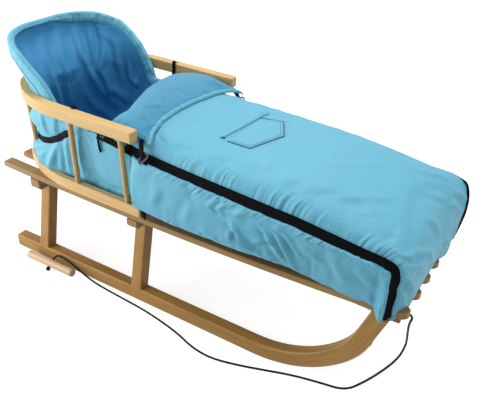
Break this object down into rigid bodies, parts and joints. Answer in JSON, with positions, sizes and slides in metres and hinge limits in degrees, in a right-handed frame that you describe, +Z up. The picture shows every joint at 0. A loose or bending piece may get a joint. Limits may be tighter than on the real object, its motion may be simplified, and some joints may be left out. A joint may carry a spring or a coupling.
{
  "type": "wooden sled",
  "caption": "Child's bentwood sled with a slatted seat, curved spindle backrest, steel-shod runners, tow cord with handle and a padded turquoise foot muff.",
  "frame": {"origin": "on the floor, under the middle of the slats' length and width", "axes": "+X forward to the runners' horns, +Y to the sled's left, +Z up"},
  "size_m": [0.9003, 0.3679, 0.4928],
  "materials": {
    "beech_wood": "satin",
    "runner_wood": "satin",
    "shoe_steel": "worn",
    "muff_shell": "satin woven",
    "muff_lining": "fleece",
    "muff_fleece": "fleece",
    "zip_black": "woven tape",
    "handle_wood": "raw",
    "cord_black": "braided"
  },
  "bodies": {
    "root": {"slat_1": "beech_wood", "slat_2": "beech_wood", "slat_3": "beech_wood", "slat_4": "beech_wood", "slat_5": "beech_wood", "slat_6": "beech_wood", "crossbar_rear": "beech_wood", "crossbar_front": "beech_wood", "front_bar": "beech_wood", "backrest_base": "beech_wood", "backrest_rail": "beech_wood", "spindle_side_front_right": "beech_wood", "spindle_side_front_left": "beech_wood", "spindle_side_rear_right": "beech_wood", "spindle_side_rear_left": "beech_wood", "spindle_corner_right": "beech_wood", "spindle_corner_left": "beech_wood", "spindle_back_right": "beech_wood", "spindle_back_left": "beech_wood", "leg_rear_right": "beech_wood", "leg_rear_left": "beech_wood", "leg_front_right": "beech_wood", "leg_front_left": "beech_wood", "runner_right": "runner_wood", "runner_left": "runner_wood", "runner_shoe_right": "shoe_steel", "runner_shoe_left": "shoe_steel", "muff_back": "muff_shell", "muff_tunnel": "muff_shell", "muff_pad": "muff_lining", "muff_collar": "muff_fleece", "pocket_flap": "muff_shell", "zip_tape_right": "zip_black", "zip_tape_left": "zip_black", "tow_handle": "handle_wood", "tow_cord": "cord_black", "handle_knot": "cord_black", "bar_knot": "cord_black"}
  },
  "joints": []
}
